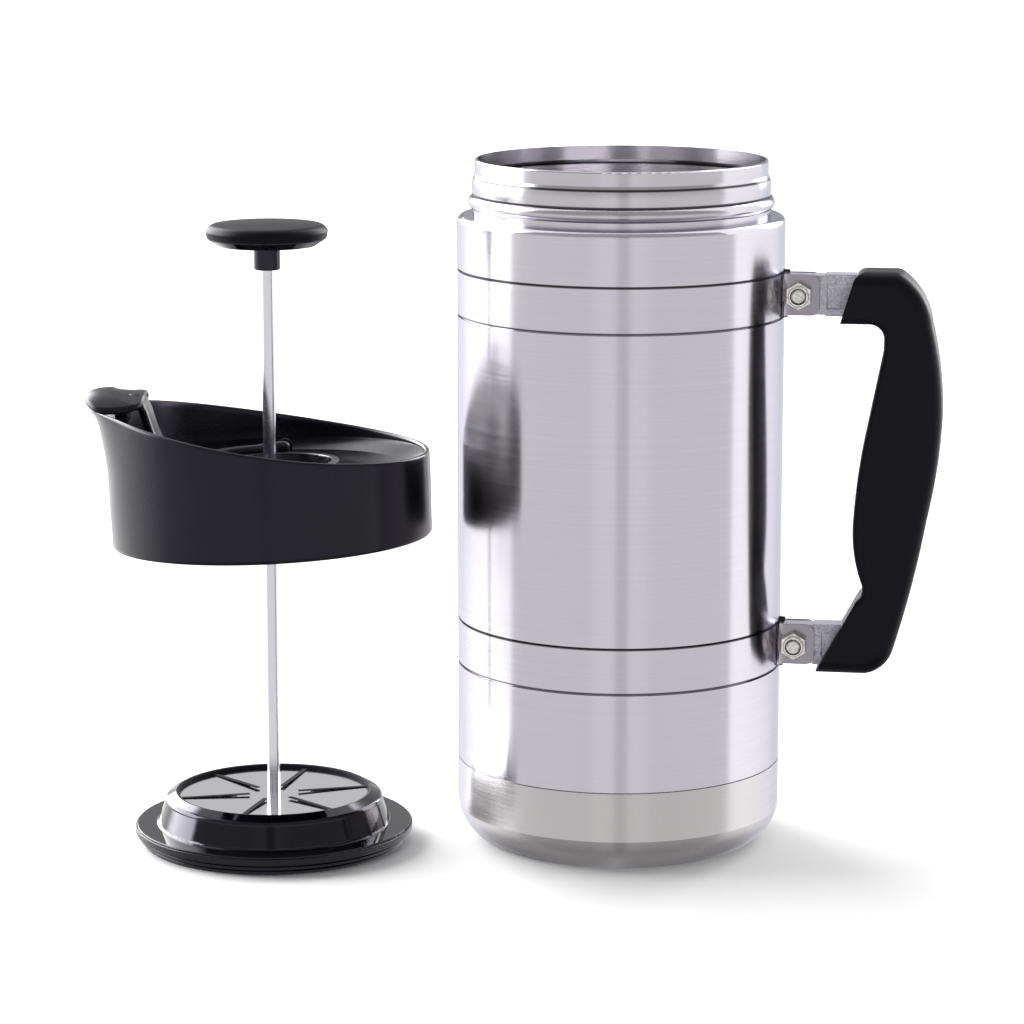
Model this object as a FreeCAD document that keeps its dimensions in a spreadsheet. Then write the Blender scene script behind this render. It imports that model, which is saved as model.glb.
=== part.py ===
import FreeCAD, Part
import math
import os
import Sketcher
from FreeCAD import Placement, Rotation, Vector

# A stainless, double-walled french press, taken apart for cleaning.  The carafe stands at the
# origin with its handle on +X, the plunger stands beside it on its own filter, and the lid
# hangs part-way down the plunger's rod.  Millimetres, +Z up, table at z = 0.

document = FreeCAD.newDocument("FrenchPress")
sheet = document.addObject("Spreadsheet::Sheet", "Dims")

# ---------------------------------------------------------------- driving dimensions
DIMENSIONS = {
    # carafe, radii and heights from the table
    "shell_radius": 56.0,
    "shell_wall": 0.8,
    "shoulder_height": 217.6,
    "shoulder_round": 2.0,
    "seam_height": 28.6,
    "seam_gap": 0.4,
    "base_corner_width": 9.0,
    "base_corner_height": 11.6,
    "bore_radius": 48.6,
    "vessel_wall": 0.7,
    "vessel_floor": 10.5,
    "vessel_corner": 8.0,
    "neck_root_height": 214.0,
    "neck_height": 216.4,
    "neck_radius": 50.7,
    "bead_height": 222.2,
    "bead_radius": 52.3,
    "bead_half_width": 2.3,
    "neck_swell_radius": 14.0,
    "neck_step_height": 231.0,
    "neck_step_half": 0.8,
    "lip_radius": 50.0,
    "collar_gap": 0.05,
    "rim_height": 236.6,
    # the two clamp bands and their ears
    "band_height": 15.3,
    "band_wall": 0.9,
    "band_gap": 0.55,
    "lower_band_middle": 70.4,
    "upper_band_middle": 191.6,
    "ear_height": 13.9,
    "ear_wall": 1.0,
    "ear_end": 68.2,
    "ear_corner": 2.8,
    "ear_bend": 2.0,
    "bolt_reach": 61.4,
    # handle
    "lug_width": 7.4,
    "lug_start": 57.6,
    "upper_lug_step": 70.0,
    "lower_lug_step": 67.7,
    "lug_step_height": 14.3,
    "lug_slim_height": 13.4,
    "lug_panel_depth": 1.1,
    "lug_panel_height": 9.4,
    "lug_panel_start": 70.6,
    "core_depth": 9.0,
    "grip_width": 21.0,
    "grip_round": 5.0,
    "grip_inner_round": 2.6,
    # bolts and locknuts, metric five
    "bolt_radius": 2.5,
    "bolt_clearance": 0.15,
    "nut_flats": 8.0,
    "nut_hex_height": 3.6,
    "nut_collar_height": 1.4,
    "nut_collar_radius": 3.5,
    "bolt_head_height": 3.5,
    "bolt_proud": 0.5,
    "nut_insert_wall": 0.6,
    "nut_insert_depth": 1.5,
    "nut_mouth_depth": 0.3,
    # where the plunger stands
    "press_x": -117.3,
    "press_y": -28.5,
    # plunger: rod and knob, heights from the table
    "rod_radius": 2.2,
    "rod_bottom": 9.0,
    "rod_top": 213.0,
    "knob_radius": 20.75,
    "knob_widest": 213.0,
    "knob_crown": 216.1,
    "knob_joint": 210.9,
    "knob_bottom": 208.2,
    "knob_bottom_radius": 16.6,
    "knob_hub_radius": 4.5,
    "knob_hub_bottom": 199.9,
    "knob_insert_wall": 1.8,
    # plunger: filter stack
    "seal_radius": 48.2,
    "seal_inner_radius": 44.2,
    "seal_bottom": 0.2,
    "seal_top": 6.3,
    "rib_taper": 1.35,
    "rib_depth": 1.0,
    "rib_height": 1.25,
    "rib_pitch": 1.85,
    "top_rib_height": 2.4,
    "flange_radius": 47.6,
    "flange_top": 6.9,
    "hat_foot_radius": 40.2,
    "hat_brow_radius": 37.8,
    "hat_brow_height": 14.8,
    "crown_height": 18.0,
    "opening_radius": 32.8,
    "plate_height": 16.5,
    "plate_centre_height": 15.9,
    "plate_wall": 0.6,
    "spoke_top": 16.75,
    "spoke_width": 1.6,
    "spoke_start": 8.6,
    "spoke_turn": 22.3,
    "slot_start": 13.0,
    "slot_end": 29.0,
    "slot_width": 1.2,
    "hub_radius": 5.0,
    "screen_bottom": 2.0,
    "screen_wall": 0.4,
    "screw_radius": 1.6,
    "retainer_radius": 43.9,
    "window_start": 12.0,
    "window_start_half": 4.6,
    "window_end": 38.6,
    "window_end_half": 19.4,
    # lid, in its own frame: origin on its axis at the skirt's lower edge
    "lid_height": 107.1,
    "lid_lean": 3.05,
    "lid_lean_towards": -27.6,
    "lid_turn": 8.8,
    "lid_radius": 54.8,
    "lid_wall": 1.7,
    "rim_low": 28.5,
    "rim_middle": 36.15,
    "rim_high": 48.3,
    "deck_underside": 20.0,
    "deck_wall": 1.9,
    "dish_radius": 21.4,
    "dish_ring_width": 2.6,
    "dish_ring_top": 26.4,
    "gasket_bottom": 18.2,
    "gasket_inner_radius": 47.2,
    "gasket_outer_radius": 51.6,
    "grommet_radius": 6.4,
    "grommet_waist": 4.4,
    "grommet_space": 4.9,
    "spout_reach": 61.6,
    "spout_top": 48.6,
    "spout_angle": 34.0,
    # flip cap on the lid
    "hinge_x": 3.4,
    "hinge_height": 27.3,
    "hinge_pin_radius": 1.0,
    "hinge_pin_length": 6.6,
    "hinge_pin_middle": 30.6,
    "boss_middle": 32.5,
    "boss_wall": 2.6,
    "knuckle_middle": 28.7,
    "knuckle_wall": 3.8,
    "knuckle_radius": 2.2,
    "yoke_inner_radius": 26.8,
    "yoke_outer_radius": 30.6,
    "yoke_bottom": 25.2,
    "yoke_top": 28.6,
    "stem_width": 18.0,
    "pad_underside": 50.8,
    "pad_top": 53.1,
    "plug_width": 17.0,
}


def fill_sheet():
    for row, (alias, value) in enumerate(DIMENSIONS.items(), start=1):
        sheet.set(f"A{row}", alias)
        sheet.set(f"B{row}", str(value))
        sheet.setAlias(f"B{row}", alias)
    document.recompute()


fill_sheet()


class Size:
    """A length known both as a number and as the sheet expression that gives it."""

    def __init__(self, value, text):
        self.value = value
        self.text = text

    @staticmethod
    def of(item):
        return item if isinstance(item, Size) else Size(float(item), repr(float(item)))

    def join(self, other, sign, value):
        return Size(value, f"({self.text} {sign} {Size.of(other).text})")

    def __add__(self, other):
        return self.join(other, "+", self.value + Size.of(other).value)

    def __sub__(self, other):
        return self.join(other, "-", self.value - Size.of(other).value)

    def __rsub__(self, other):
        return Size.of(other) - self

    def __mul__(self, other):
        return self.join(other, "*", self.value * Size.of(other).value)

    def __truediv__(self, other):
        return self.join(other, "/", self.value / Size.of(other).value)

    def __neg__(self):
        return Size(-self.value, f"(-1 * {self.text})")

    def root(self):
        return Size(math.sqrt(self.value), f"sqrt({self.text})")


def dim(alias):
    return Size(float(sheet.get(alias)), f"Dims.{alias}")


# ---------------------------------------------------------------- sketches and bodies
ORIGIN_POINT = (-1, 1)
ACROSS_AXIS = -1
UP_AXIS = -2


def new_body(label):
    body = document.addObject("PartDesign::Body", label)
    body.Label = label
    return body


def plane_of(body, role):
    return next(plane for plane in body.Origin.OriginFeatures if plane.Role == role)


def new_sketch(body, name, role="XZ_Plane", lift=None):
    sketch = body.newObject("Sketcher::SketchObject", name)
    sketch.AttachmentSupport = [(plane_of(body, role), "")]
    sketch.MapMode = "FlatFace"
    if lift is not None:
        sketch.setExpression("AttachmentOffset.Base.z", Size.of(lift).text)
    return sketch


def bind(sketch, kind, arguments, size):
    """Adds a driving constraint whose value is the size's expression."""
    index = sketch.addConstraint(Sketcher.Constraint(kind, *arguments, size.value))
    sketch.setExpression(f"Constraints[{index}]", size.text)


def pin_point(sketch, edge, place, across, up):
    """Holds one end of an edge at a place measured from the sketch's origin."""
    if abs(across.value) < 1e-9:
        sketch.addConstraint(Sketcher.Constraint("PointOnObject", edge, place, UP_AXIS))
    else:
        bind(sketch, "DistanceX", (*ORIGIN_POINT, edge, place), across)
    if abs(up.value) < 1e-9:
        sketch.addConstraint(Sketcher.Constraint("PointOnObject", edge, place, ACROSS_AXIS))
    else:
        bind(sketch, "DistanceY", (*ORIGIN_POINT, edge, place), up)


def arc_between(start, end, radius):
    """The shorter arc from start to end; a positive radius bows to the right of the way."""
    chord = end - start
    half = chord.Length / 2
    side = Vector(-chord.y, chord.x, 0).normalize() * (1 if radius > 0 else -1)
    centre = (start + end) / 2 + side * math.sqrt(max(radius ** 2 - half ** 2, 0))
    first = math.atan2(start.y - centre.y, start.x - centre.x)
    last = math.atan2(end.y - centre.y, end.x - centre.x)
    if radius < 0:
        first, last = last, first
    circle = Part.Circle(centre, Vector(0, 0, 1), abs(radius))
    return Part.ArcOfCircle(circle, first, last)


def outline(sketch, corners):
    """Draws a closed outline.  A corner is (across, up) or (across, up, radius of the arc
    that leaves it): positive bows to the right of the way round, negative to the left."""
    places = [(Size.of(corner[0]), Size.of(corner[1])) for corner in corners]
    ends = []
    for number, corner in enumerate(corners):
        start = Vector(places[number][0].value, places[number][1].value, 0)
        following = places[(number + 1) % len(places)]
        end = Vector(following[0].value, following[1].value, 0)
        if len(corner) == 2:
            edge = sketch.addGeometry(Part.LineSegment(start, end))
            ends.append((edge, 1, 2))
            continue
        radius = Size.of(corner[2])
        edge = sketch.addGeometry(arc_between(start, end, radius.value))
        ends.append((edge, 1, 2) if radius.value > 0 else (edge, 2, 1))
        size = radius if radius.value > 0 else -radius
        bind(sketch, "Radius", (edge,), size)
    for number, (edge, start_end, _) in enumerate(ends):
        before, _, before_end = ends[number - 1]
        sketch.addConstraint(Sketcher.Constraint("Coincident", before, before_end, edge, start_end))
        pin_point(sketch, edge, start_end, *places[number])


def circle(sketch, radius, across=0.0, up=0.0):
    across = Size.of(across)
    up = Size.of(up)
    radius = Size.of(radius)
    centre = Vector(across.value, up.value, 0)
    edge = sketch.addGeometry(Part.Circle(centre, Vector(0, 0, 1), radius.value))
    bind(sketch, "Radius", (edge,), radius)
    pin_point(sketch, edge, 3, across, up)


def rectangle(sketch, low_across, low_up, high_across, high_up):
    outline(sketch, [(low_across, low_up), (high_across, low_up),
                     (high_across, high_up), (low_across, high_up)])


def revolve(body, name, corners, angle=360.0, cut=False):
    """Turns an outline in the X-Z plane about the body's own Z axis."""
    sketch = new_sketch(body, name + "Outline")
    outline(sketch, corners)
    kind = "PartDesign::Groove" if cut else "PartDesign::Revolution"
    feature = body.newObject(kind, name)
    feature.Profile = sketch
    feature.ReferenceAxis = (sketch, ["V_Axis"])
    feature.Angle = angle
    feature.Midplane = angle < 360.0
    body.Tip = feature
    return feature


def extrude(body, name, draw, length, role="XZ_Plane", middle=True, lift=None, cut=False):
    """Pads or pockets what draw(sketch) draws, half each way when middle is set."""
    sketch = new_sketch(body, name + "Outline", role, lift)
    draw(sketch)
    feature = body.newObject("PartDesign::Pocket" if cut else "PartDesign::Pad", name)
    feature.Profile = sketch
    feature.setExpression("Length", Size.of(length).text)
    if middle:
        feature.SideType = "Symmetric"
    feature.Reversed = cut and not middle
    body.Tip = feature
    return feature


def repeat_round(body, name, feature, count):
    pattern = body.newObject("PartDesign::PolarPattern", name)
    pattern.Originals = [feature]
    pattern.Axis = (plane_of(body, "Z_Axis"), [""])
    pattern.Angle = 360.0
    pattern.Occurrences = count
    body.Tip = pattern
    return pattern


# ---------------------------------------------------------------- the carafe's steel pieces
def make_inner_vessel():
    """The drawn steel liner: floor, straight bore, then the neck's bead, swell, step and lip."""
    body = new_body("inner_vessel")
    bore = dim("bore_radius")
    wall = dim("vessel_wall")
    floor = dim("vessel_floor")
    corner = dim("vessel_corner")
    neck = dim("neck_radius")
    half = dim("bead_half_width")
    bead = dim("bead_height")
    rise = dim("bead_radius") - neck
    bead_arc = (half * half + rise * rise) / (rise * 2)
    hollow_arc = bead_arc - wall
    hollow_offset = neck - wall - dim("bead_radius") + bead_arc
    hollow_half = (hollow_arc * hollow_arc - hollow_offset * hollow_offset).root()
    step_low = dim("neck_step_height") - dim("neck_step_half")
    step_high = dim("neck_step_height") + dim("neck_step_half")
    lip = dim("lip_radius")
    rim = dim("rim_height")
    roll = wall * 0.8
    lip_wall = wall * 1.4
    revolve(body, "Liner", [
        (0, floor - wall),
        (bore - corner, floor - wall, corner + wall),
        (bore + wall, floor + corner),
        (bore + wall, dim("neck_root_height")),
        (neck, dim("neck_height")),
        (neck, bead - half, bead_arc),
        (neck, bead + half, dim("neck_swell_radius")),
        (neck, step_low),
        (lip, step_high),
        (lip, rim - roll, roll),
        (lip - roll, rim),
        (lip - lip_wall, rim),
        (lip - lip_wall, step_high),
        (neck - wall, step_low),
        (neck - wall, bead + hollow_half, -hollow_arc),
        (neck - wall, bead - hollow_half),
        (neck - wall, dim("neck_height") + wall / 2),
        (bore, dim("neck_root_height")),
        (bore, floor + corner, -corner),
        (bore - corner, floor),
        (0, floor),
    ])
    return body


def make_outer_shell():
    """The brushed outer wall, rolled in where the two clamp bands lie flush."""
    body = new_body("outer_shell")
    radius = dim("shell_radius")
    wall = dim("shell_wall")
    start = dim("seam_height") + dim("seam_gap") / 2
    shoulder = dim("shoulder_height")
    corner = dim("shoulder_round")
    collar = dim("neck_radius") + dim("collar_gap")
    lining = radius - wall
    groove = radius - dim("band_wall")
    reach = dim("band_height") / 2 + dim("band_gap")
    outside = [(radius, start)]
    inside = []
    for middle in (dim("lower_band_middle"), dim("upper_band_middle")):
        outside += [(radius, middle - reach), (groove, middle - reach),
                    (groove, middle + reach), (radius, middle + reach)]
        inside += [(lining, middle - reach - wall), (groove - wall, middle - reach - wall),
                   (groove - wall, middle + reach + wall), (lining, middle + reach + wall)]
    outside += [(radius, shoulder - corner, corner), (radius - corner, shoulder),
                (collar, shoulder), (collar, shoulder - wall)]
    inside += [(lining, shoulder - wall - corner), (lining - corner, shoulder - wall)]
    revolve(body, "Shell", outside + inside[::-1] + [(lining, start)])
    return body


def make_base_cup():
    """The base, tucked into the shell at the seam: flat underneath, with one stamped ring."""
    body = new_body("base_cup")
    radius = dim("shell_radius")
    wall = dim("shell_wall")
    seam = dim("seam_height")
    top = seam - dim("seam_gap") / 2
    foot = radius - dim("base_corner_width")
    turn = dim("base_corner_height")
    bow = turn * 1.38
    groove = wall / 2
    revolve(body, "Cup", [
        (0, 0),
        (foot - 11, 0),
        (foot - 10, groove),
        (foot - 8.5, groove),
        (foot - 7.5, 0),
        (foot, 0, bow),
        (radius, turn),
        (radius, top),
        (radius - wall, top),
        (radius - wall, seam + 3),
        (radius - wall * 2, seam + 3),
        (radius - wall * 2, seam - 1.6),
        (radius - wall, seam - 2.4),
        (radius - wall, turn, wall - bow),
        (foot, wall),
        (foot - 7, wall),
        (foot - 8, wall + groove),
        (foot - 10.5, wall + groove),
        (foot - 11.5, wall),
        (0, wall),
    ])
    return body


def make_band(label, middle):
    """A strap round the shell whose ends turn out to make two ears with a bolt hole."""
    body = new_body(label)
    radius = dim("shell_radius")
    inner = radius - dim("band_wall")
    height = dim("band_height")
    lug = dim("lug_width") / 2
    ear = lug + dim("ear_wall")
    bend = dim("ear_bend")
    end = dim("ear_end")
    centre_y = ear + bend
    centre_x = ((radius + bend) * (radius + bend) - centre_y * centre_y).root()
    share = radius / (radius + bend)
    meet_x = centre_x * share
    meet_y = centre_y * share
    inner_x = (inner * inner - lug * lug).root()

    def strap(sketch):
        outline(sketch, [
            (end, ear), (centre_x, ear, -bend), (meet_x, meet_y, radius), (-radius, 0, radius),
            (meet_x, -meet_y, -bend), (centre_x, -ear), (end, -ear), (end, -lug),
            (inner_x, -lug, -inner), (-inner, 0, -inner), (inner_x, lug), (end, lug),
        ])

    extrude(body, "Strap", strap, height, "XY_Plane", True, middle)
    top = dim("ear_height") / 2
    edge = height / 2 + 1
    corner = dim("ear_corner")
    for name, way in (("TrimTop", 1), ("TrimFoot", -1)):
        def trim(sketch):
            outline(sketch, [
                (centre_x, middle + top * way), (end - corner, middle + top * way, -corner * way),
                (end, middle + (top - corner) * way), (end + 1, middle + (top - corner) * way),
                (end + 1, middle + edge * way), (centre_x, middle + edge * way),
            ])
        extrude(body, name, trim, ear * 2 + 2, cut=True)
    hole = dim("bolt_radius") + dim("bolt_clearance")
    extrude(body, "BoltHole", lambda sketch: circle(sketch, hole, dim("bolt_reach"), middle),
            ear * 2 + 2, cut=True)
    return body


# ---------------------------------------------------------------- the handle
def core_outline(sketch):
    """The cast core seen from the side: two lugs joined by a bar inside the grip."""
    start = dim("lug_start")
    step = dim("upper_lug_step")
    low_step = dim("lower_lug_step")
    thick = dim("lug_step_height") / 2
    slim = dim("lug_slim_height") / 2
    low = dim("lower_band_middle")
    high = dim("upper_band_middle")
    depth = dim("core_depth")
    outline(sketch, [
        (start, low - slim), (low_step, low - slim), (low_step, low - thick), (84.0, low - thick),
        (92.0, 71.0), (98.0, 100.0), (103.2, 128.0), (104.6, 150.0), (102.0, 176.0),
        (97.0, 190.0), (89.0, high + thick), (step, high + thick),
        (step, high + slim), (start, high + slim), (start, high - slim), (step, high - slim),
        (step, high - thick), (88.0, high - thick), (102.0 - depth, 172.0), (104.6 - depth, 150.0),
        (103.2 - depth, 130.0), (98.0 - depth, 103.0), (86.0, low + thick + 3.0),
        (82.0, low + thick), (low_step, low + thick), (low_step, low + slim), (start, low + slim),
    ])


def make_handle_core():
    body = new_body("handle_core")
    extrude(body, "Casting", core_outline, dim("lug_width"))
    panel = dim("lug_panel_height") / 2
    depth = dim("lug_panel_depth")
    inset = (dim("lug_width") - depth) / 2
    for place, middle, reach in (("Upper", dim("upper_band_middle"), 84.0),
                                 ("Lower", dim("lower_band_middle"), 80.0)):
        hole = dim("bolt_radius") + dim("bolt_clearance")
        extrude(body, place + "Hole",
                lambda sketch: circle(sketch, hole, dim("bolt_reach"), middle),
                dim("lug_width") + 2, cut=True)
        for side, lift in (("Front", inset), ("Back", -inset)):
            extrude(body, place + side + "Panel",
                    lambda sketch: rectangle(sketch, dim("lug_panel_start"), middle - panel,
                                             reach, middle + panel),
                    depth, lift=lift, cut=True)
    return body


def faces_fingers(middle):
    return middle.x < 91.0 and 87.7 < middle.z < 182.6


# The grip's blank is slanted off at both ends: how far out and between which heights those ends lie.
GRIP_BLANK_CORNER = 70.0
GRIP_BLANK_END = 80.0
GRIP_BLANK_END_HEIGHTS = (80.0, 195.0)


def soften(body, name, base, radius, wanted):
    """Fillets the wanted rims of the grip's two flat sides, but not those of the blank's ends."""
    document.recompute()
    lower_end, upper_end = GRIP_BLANK_END_HEIGHTS
    half = dim("grip_width").value / 2
    rims = []
    for number, edge in enumerate(base.Shape.Edges, start=1):
        on_side = all(abs(abs(vertex.Point.y) - half) < 1e-6 for vertex in edge.Vertexes)
        middle = edge.valueAt((edge.FirstParameter + edge.LastParameter) / 2)
        at_blank_end = (middle.x < GRIP_BLANK_CORNER
                        or (middle.x < GRIP_BLANK_END and lower_end < middle.z < upper_end))
        if on_side and wanted(middle) and not at_blank_end:
            rims.append(f"Edge{number}")
    fillet = body.newObject("PartDesign::Fillet", name)
    fillet.Base = (base, rims)
    fillet.setExpression("Radius", radius)
    body.Tip = fillet


def make_handle_grip():
    """The rubberised grip: slanted ends, a bowed back and a finger stop low inside."""
    body = new_body("handle_grip")

    def side(sketch):
        outline(sketch, [
            (57.9, 61.3), (86.0, 61.3, 12.0), (95.2, 69.2, 370.0), (106.0, 115.2, 190.0),
            (110.4, 150.0, 130.0), (106.4, 182.6, 24.0), (95.2, 200.2), (80.8, 200.2),
            (75.5, 182.5), (85.9, 182.5, -5.0), (90.4, 177.2), (90.3, 173.8), (84.4, 143.3, 220.0),
            (81.0, 113.0, 52.0), (84.3, 93.0, -5.0), (82.9, 87.6), (73.9, 79.6),
        ])

    def beyond_lower_end(sketch):
        outline(sketch, [(64.7, 53.4), (82.9, 87.6), (70.0, 90.0), (50.0, 90.0), (50.0, 53.4)])

    blank = extrude(body, "Blank", side, dim("grip_width"))
    soften(body, "OuterEdges", blank, "Dims.grip_round", lambda middle: not faces_fingers(middle))
    extrude(body, "LowerEnd", beyond_lower_end, dim("grip_width") + 2, cut=True)
    soften(body, "InnerEdges", body.Tip, "Dims.grip_inner_round", faces_fingers)
    extrude(body, "CoreSpace", core_outline, dim("lug_width"), cut=True)
    return body


# ---------------------------------------------------------------- fasteners
def hexagon(sketch, flats):
    corner = flats / math.sqrt(3)
    outline(sketch, [(corner * math.cos(math.radians(turn)), corner * math.sin(math.radians(turn)))
                     for turn in range(30, 390, 60)])


def crosswise(middle):
    """Places a fastener's own Z axis along -Y, through the ears of one band."""
    base = Vector(dim("bolt_reach").value, 0, middle.value)
    return Placement(base, Rotation(Vector(1, 0, 0), 90))


def make_bolt(label, middle):
    body = new_body(label)
    ear = dim("lug_width") / 2 + dim("ear_wall")
    head = dim("bolt_head_height")
    radius = dim("bolt_radius")
    tip = ear + dim("nut_hex_height") + dim("nut_collar_height") + dim("bolt_proud")
    extrude(body, "Head", lambda sketch: hexagon(sketch, dim("nut_flats")), head,
            "XY_Plane", True, -ear - head / 2)
    revolve(body, "Shank", [(0, -ear - head / 2), (radius, -ear - head / 2), (radius, tip - 0.5),
                            (radius - 0.5, tip), (0, tip)])
    body.Placement = crosswise(middle)
    return body


def nut_insert_outline(inner):
    collar_top = (dim("lug_width") / 2 + dim("ear_wall") + dim("nut_hex_height")
                  + dim("nut_collar_height"))
    low = collar_top - dim("nut_insert_depth")
    high = collar_top - dim("nut_mouth_depth")
    outer = dim("bolt_radius") + dim("nut_insert_wall")
    return [(inner, low), (outer, low), (outer, high), (inner, high)]


def make_locknut(label, middle):
    body = new_body(label)
    ear = dim("lug_width") / 2 + dim("ear_wall")
    height = dim("nut_hex_height")
    radius = dim("bolt_radius")
    collar = dim("nut_collar_radius")
    top = ear + height + dim("nut_collar_height")
    mouth = dim("nut_mouth_depth")
    extrude(body, "Hex", lambda sketch: hexagon(sketch, dim("nut_flats")), height,
            "XY_Plane", True, ear + height / 2)
    revolve(body, "Collar", [(radius, ear + height / 2), (collar, ear + height / 2),
                             (collar, top - mouth, mouth), (collar - mouth, top),
                             (radius + mouth, top), (radius + mouth, top - mouth),
                             (radius, top - mouth)])
    extrude(body, "Bore", lambda sketch: circle(sketch, radius), height * 2, "XY_Plane",
            True, ear + height / 2, cut=True)
    revolve(body, "InsertSpace", nut_insert_outline(radius - 0.1), cut=True)
    body.Placement = crosswise(middle)
    return body


def make_nut_insert(label, middle):
    """The nylon ring inside the locknut's collar."""
    body = new_body(label)
    revolve(body, "Ring", nut_insert_outline(dim("bolt_radius")))
    body.Placement = crosswise(middle)
    return body


# ---------------------------------------------------------------- the plunger
def stand(body):
    """Stands a plunger piece beside the carafe, its spokes turned as they rest."""
    base = Vector(dim("press_x").value, dim("press_y").value, 0)
    body.Placement = Placement(base, Rotation(Vector(0, 0, 1), dim("spoke_turn").value))
    return body


def make_rod():
    body = new_body("rod")
    radius = dim("rod_radius")
    bottom = dim("rod_bottom")
    top = dim("rod_top")
    revolve(body, "Bar", [(0, bottom), (radius - 0.4, bottom), (radius, bottom + 0.4),
                          (radius, top - 0.4), (radius - 0.4, top), (0, top)])
    return stand(body)


def make_knob_cap():
    """The matt upper half of the knob: a low dome with a round shoulder."""
    body = new_body("knob_cap")
    radius = dim("knob_radius")
    joint = dim("knob_joint")
    widest = dim("knob_widest")
    crown = dim("knob_crown")
    insert = dim("rod_radius") + dim("knob_insert_wall")
    ceiling = dim("rod_top") + 0.6
    shoulder = radius - 2.4
    shoulder_top = widest + 2.3
    rise = crown - shoulder_top
    crown_arc = (shoulder * shoulder + rise * rise) / (rise * 2)
    revolve(body, "Dome", [
        (insert, joint), (radius - 0.4, joint), (radius, widest, 3.2),
        (shoulder, shoulder_top, crown_arc), (0, crown), (0, ceiling), (insert, ceiling),
    ])
    return stand(body)


def make_knob_base():
    """The glossy underside of the knob and its hub."""
    body = new_body("knob_base")
    radius = dim("knob_radius")
    joint = dim("knob_joint")
    bottom = dim("knob_bottom")
    hub = dim("knob_hub_radius")
    foot = dim("knob_hub_bottom")
    insert = dim("rod_radius") + dim("knob_insert_wall")
    rod = dim("rod_radius")
    revolve(body, "Underside", [
        (rod, foot), (hub - 0.5, foot, 0.5), (hub, foot + 0.5), (hub, bottom - 0.8, -0.8),
        (hub + 0.8, bottom), (dim("knob_bottom_radius"), bottom), (radius - 0.6, joint - 0.4),
        (radius - 0.6, joint), (insert, joint), (insert, bottom), (rod, bottom),
    ])
    return stand(body)


def make_knob_insert():
    """The brass sleeve moulded into the knob, which the rod's end is screwed into."""
    body = new_body("knob_insert")
    inner = dim("rod_radius")
    outer = inner + dim("knob_insert_wall")
    bottom = dim("knob_bottom")
    top = dim("rod_top")
    revolve(body, "Sleeve", [(inner, bottom), (outer, bottom), (outer, top), (inner, top)])
    return stand(body)


def make_filter_frame():
    """The glossy hat over the filter: round opening, flared wall, flat flange, six spokes."""
    body = new_body("filter_frame")
    opening = dim("opening_radius")
    crown = dim("crown_height")
    brow = dim("hat_brow_radius")
    brow_top = dim("hat_brow_height")
    foot = dim("hat_foot_radius")
    flange = dim("flange_radius")
    top = dim("flange_top")
    seat = dim("screen_bottom") + dim("screen_wall")
    plate = dim("plate_height")
    seal = dim("seal_inner_radius")
    revolve(body, "Hat", [
        (foot - 2.4, seat), (seal, seat), (seal, dim("seal_top")), (flange, dim("seal_top")),
        (flange, top - 0.3, 0.3), (flange - 0.3, top), (foot + 0.9, top, -0.9), (foot, top + 0.9),
        (brow, brow_top, 1.7), (brow - 1.1, crown - 1.6), (opening + 1.2, crown - 0.1, 1.2),
        (opening, crown - 0.6), (opening, plate), (opening + 1.8, plate),
        (opening + 1.8, plate - dim("plate_wall")), (brow - 2.4, plate - 2.4),
    ])
    width = dim("spoke_width") / 2
    top_of_spoke = dim("spoke_top")
    spoke = extrude(body, "Spoke",
                    lambda sketch: rectangle(sketch, dim("spoke_start"), -width, opening + 0.6, width),
                    top_of_spoke - plate + 0.02, "XY_Plane", True,
                    (top_of_spoke + plate - 0.02) / 2)
    repeat_round(body, "Spokes", spoke, 6)
    return stand(body)


def make_press_plate():
    """The polished plate: slightly dished, with a flow slot hidden under each spoke."""
    body = new_body("press_plate")
    edge = dim("opening_radius") + 1.6
    flat = dim("opening_radius") - 0.3
    top = dim("plate_height")
    centre = dim("plate_centre_height")
    wall = dim("plate_wall")
    hole = dim("rod_radius") + 0.02
    revolve(body, "Disc", [
        (hole, centre - wall), (dim("spoke_start") - 2, centre - wall), (flat, top - wall - 0.02),
        (edge, top - wall - 0.02), (edge, top - 0.02), (flat, top - 0.02),
        (dim("spoke_start") - 2, centre), (hole, centre),
    ])
    width = dim("slot_width") / 2
    slot = extrude(body, "Slot",
                   lambda sketch: rectangle(sketch, dim("slot_start"), -width, dim("slot_end"), width),
                   wall * 6, "XY_Plane", True, top - wall, cut=True)
    repeat_round(body, "Slots", slot, 6)
    return stand(body)


def make_press_hub():
    """The steel boss under the plate, screwed on the rod's lower end."""
    body = new_body("press_hub")
    rod = dim("rod_radius")
    seat = dim("screen_bottom") + dim("screen_wall")
    under = dim("plate_centre_height") - dim("plate_wall")
    waist = dim("hub_radius")
    screw = dim("screw_radius")
    rod_end = dim("rod_bottom")
    revolve(body, "Boss", [
        (screw, seat), (waist + 2, seat), (waist + 2, seat + 1.4), (waist, seat + 2.6),
        (waist, under - 1.2), (waist + 1.4, under), (rod, under), (rod, rod_end), (screw, rod_end),
    ])
    return stand(body)


def make_mesh_screen():
    body = new_body("mesh_screen")
    bottom = dim("screen_bottom")
    wall = dim("screen_wall")
    edge = dim("retainer_radius")
    hole = dim("screw_radius") + 0.02
    revolve(body, "Screen", [(hole, bottom), (edge, bottom), (edge, bottom + wall),
                             (hole, bottom + wall)])
    return stand(body)


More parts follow.
